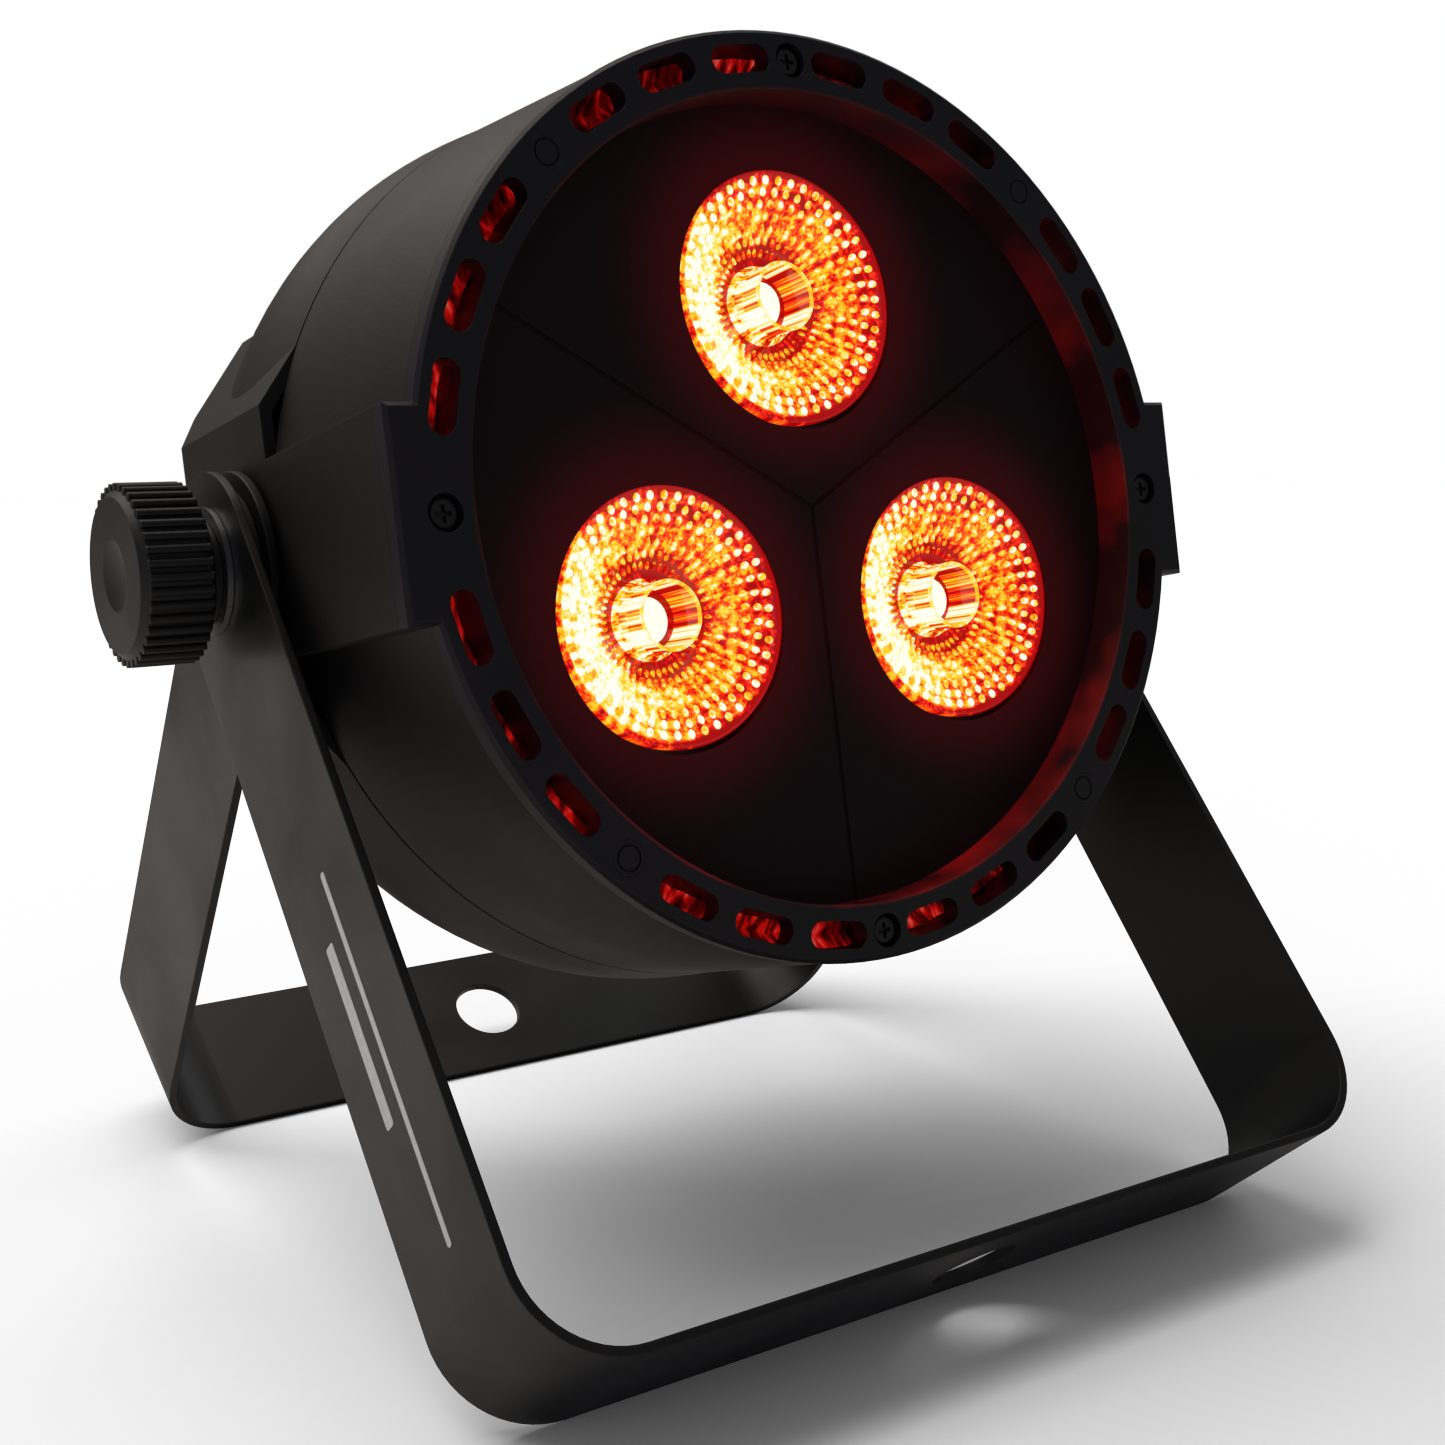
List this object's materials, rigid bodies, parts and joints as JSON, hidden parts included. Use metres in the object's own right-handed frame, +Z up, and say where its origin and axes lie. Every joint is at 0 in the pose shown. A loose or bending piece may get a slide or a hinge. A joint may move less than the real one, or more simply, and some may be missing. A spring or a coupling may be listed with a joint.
{
  "type": "par can light",
  "caption": "Compact LED par can with a flat round front, side clamp knobs and a split double yoke it can stand on or hang from.",
  "frame": {"origin": "on the floor under the middle of the whole light, as it stands on its two opened yokes", "axes": "+Z up, -Y the way the lamp faces, X along the tilt axis"},
  "size_m": [0.2134, 0.2026, 0.2162],
  "materials": {
    "yoke_coat": "black satin powder coat on folded steel",
    "friction_pad": "black friction washer",
    "zinc_steel": "bright zinc plated steel",
    "knob_plastic": "black moulded plastic",
    "brass_insert": "turned brass",
    "housing_plastic": "black moulded ABS with a fine spark texture",
    "bezel_plastic": "black moulded ABS, finer texture",
    "black_screw": "black oxide steel",
    "panel_plastic": "matte black",
    "standoff_steel": "plain",
    "lens_acrylic": "clear acrylic lens, lit red to amber",
    "holder_plastic": "black",
    "lamp": "white lamp board with lit emitter",
    "sink_aluminium": "extruded",
    "board": "green solder mask",
    "transformer_tape": "yellow tape on ferrite",
    "capacitor_sleeve": "dark blue sleeve",
    "rear_plate_coat": "black powder coat",
    "display_face": "four-digit module",
    "smoked_window": "smoked acrylic",
    "mic_steel": "plain",
    "key_plastic": "dark grey moulded",
    "socket_nickel": "dark nickel plate",
    "contact_brass": "plated contact",
    "latch_plastic": "black",
    "inlet_plastic": "black nylon",
    "fuse_glass": "glass tube",
    "eye_steel": "zinc plated wire and plate"
  },
  "bodies": {
    "front_yoke": {"front_yoke": "yoke_coat"},
    "rear_yoke": {"rear_yoke": "yoke_coat", "spacer_washer_left": "friction_pad", "spacer_washer_right": "friction_pad"},
    "head": {"inner_washer_left": "friction_pad", "threaded_insert_left": "brass_insert", "inner_washer_right": "friction_pad", "threaded_insert_right": "brass_insert", "front_shell": "housing_plastic", "rear_shell": "housing_plastic", "front_bezel": "bezel_plastic", "bezel_plugs": "bezel_plastic", "bezel_screws": "black_screw", "heat_sink_screws": "black_screw", "shell_screws": "black_screw", "board_screws": "black_screw", "panel_screws": "black_screw", "connector_screws": "black_screw", "safety_eye_screws": "black_screw", "lens_panel": "panel_plastic", "panel_standoffs": "standoff_steel", "control_board_standoffs": "standoff_steel", "lens_top": "lens_acrylic", "lens_holder_top": "holder_plastic", "led_top": "lamp", "lens_left": "lens_acrylic", "lens_holder_left": "holder_plastic", "led_left": "lamp", "lens_right": "lens_acrylic", "lens_holder_right": "holder_plastic", "led_right": "lamp", "heat_sink": "sink_aluminium", "driver_board": "board", "control_board": "board", "transformer": "transformer_tape", "capacitors": "capacitor_sleeve", "control_panel": "rear_plate_coat", "display": "display_face", "display_window": "smoked_window", "microphone": "mic_steel", "dmx_in": "socket_nickel", "dmx_out": "socket_nickel", "dmx_in_pins": "contact_brass", "inlet_pins": "contact_brass", "power_inlet": "inlet_plastic", "safety_eye": "eye_steel"},
    "washer_left": {"knob_washer_left": "zinc_steel"},
    "washer_right": {"knob_washer_right": "zinc_steel"},
    "knob_left": {"knob_left": "knob_plastic", "knob_screw_left": "zinc_steel"},
    "knob_right": {"knob_right": "knob_plastic", "knob_screw_right": "zinc_steel"},
    "dmx_latch": {"dmx_latch": "latch_plastic"},
    "fuse_drawer": {"fuse_drawer": "inlet_plastic", "fuse": "fuse_glass"},
    "menu_key": {"menu_key": "key_plastic"},
    "down_key": {"down_key": "key_plastic"},
    "up_key": {"up_key": "key_plastic"},
    "enter_key": {"enter_key": "key_plastic"}
  },
  "joints": [
    {"name": "head_tilt", "type": "hinge", "parent": "front_yoke", "child": "head", "pos_m": [0, 0.01138, 0.12564], "axis": [1, 0, 0], "continuous": true},
    {"name": "rear_yoke_fold", "type": "hinge", "parent": "front_yoke", "child": "rear_yoke", "pos_m": [0, 0.01138, 0.12564], "axis": [1, 0, 0], "continuous": true},
    {"name": "washer_left_slide", "type": "slide", "parent": "head", "child": "washer_left", "axis": [-1, 0, 0], "range_m": [0, 0.0025]},
    {"name": "knob_left_turn", "type": "hinge", "parent": "washer_left", "child": "knob_left", "pos_m": [0, 0.01138, 0.12564], "axis": [1, 0, 0], "range_deg": [0, 721]},
    {"name": "washer_right_slide", "type": "slide", "parent": "head", "child": "washer_right", "axis": [1, 0, 0], "range_m": [0, 0.0025]},
    {"name": "knob_right_turn", "type": "hinge", "parent": "washer_right", "child": "knob_right", "pos_m": [0, 0.01138, 0.12564], "axis": [-1, 0, 0], "range_deg": [0, 721]},
    {"name": "menu_key_press", "type": "slide", "parent": "head", "child": "menu_key", "axis": [0, -0.9799, 0.1994], "range_m": [0, 0.0006], "stiffness_N_per_m": 400, "springref_m": -0.001},
    {"name": "down_key_press", "type": "slide", "parent": "head", "child": "down_key", "axis": [0, -0.9799, 0.1994], "range_m": [0, 0.0006], "stiffness_N_per_m": 400, "springref_m": -0.001},
    {"name": "up_key_press", "type": "slide", "parent": "head", "child": "up_key", "axis": [0, -0.9799, 0.1994], "range_m": [0, 0.0006], "stiffness_N_per_m": 400, "springref_m": -0.001},
    {"name": "enter_key_press", "type": "slide", "parent": "head", "child": "enter_key", "axis": [0, -0.9799, 0.1994], "range_m": [0, 0.0006], "stiffness_N_per_m": 400, "springref_m": -0.001},
    {"name": "dmx_latch_press", "type": "slide", "parent": "head", "child": "dmx_latch", "axis": [0, -0.9799, 0.1994], "range_m": [0, 0.0012], "stiffness_N_per_m": 400, "springref_m": -0.001},
    {"name": "fuse_drawer_slide", "type": "slide", "parent": "head", "child": "fuse_drawer", "axis": [0, 0.9799, -0.1994], "range_m": [0, 0.012]}
  ],
  "couplings": [
    {"joint": "knob_left_turn", "follows": "washer_left_slide", "rad_per_m": 5026.5},
    {"joint": "knob_right_turn", "follows": "washer_right_slide", "rad_per_m": 5026.5}
  ]
}
